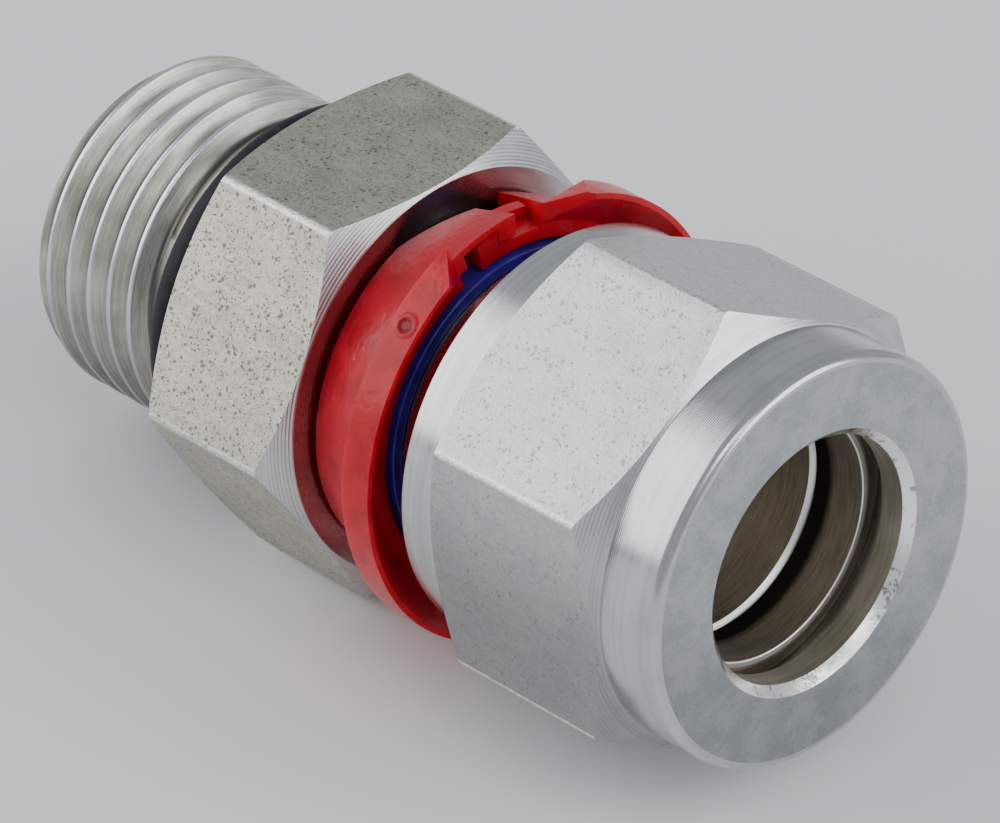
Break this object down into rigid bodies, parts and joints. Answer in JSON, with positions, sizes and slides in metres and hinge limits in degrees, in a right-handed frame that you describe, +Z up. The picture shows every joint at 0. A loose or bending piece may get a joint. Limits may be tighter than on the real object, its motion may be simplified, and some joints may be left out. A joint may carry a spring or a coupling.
{
  "type": "male tube connector",
  "caption": "Straight steel tube fitting: hexagon body with a threaded stud and seal ring, union nut with ferrules for a plain tube, and a red plastic ring between them.",
  "frame": {"origin": "on the axis, in the plane where the body hexagon meets the port, inside the bore of the stud", "axes": "+X along the axis towards the tube, +Z up with a flat of the body hexagon facing down"},
  "size_m": [0.0475, 0.0256, 0.0256],
  "materials": {
    "body_steel": "matte bar flats, turned ends",
    "nut_steel": "satin flats, polished turned ends",
    "ferrule_steel": "fine turned",
    "seal_rubber": "satin black",
    "blue_plastic": "moulded, satin",
    "red_plastic": "moulded, glossy"
  },
  "bodies": {
    "fitting_body": {"connector_body": "body_steel", "o_ring": "seal_rubber", "neck_band": "blue_plastic"},
    "plastic_ring": {"indicator_ring": "red_plastic"},
    "nut_slider": {"front_ferrule": "ferrule_steel", "back_ferrule": "ferrule_steel"},
    "nut": {"union_nut": "nut_steel"}
  },
  "joints": [
    {"name": "ring_turn", "type": "hinge", "parent": "fitting_body", "child": "plastic_ring", "pos_m": [0.0125, 0, 0], "axis": [1, 0, 0], "continuous": true},
    {"name": "nut_travel", "type": "slide", "parent": "fitting_body", "child": "nut_slider", "axis": [1, 0, 0], "range_m": [0, 0.00635]},
    {"name": "nut_turn", "type": "hinge", "parent": "nut_slider", "child": "nut", "pos_m": [0.026, 0, 0], "axis": [1, 0, 0], "range_deg": [0, 1800]}
  ],
  "couplings": [
    {"joint": "nut_travel", "follows": "nut_turn", "m_per_rad": 0.00020213}
  ]
}
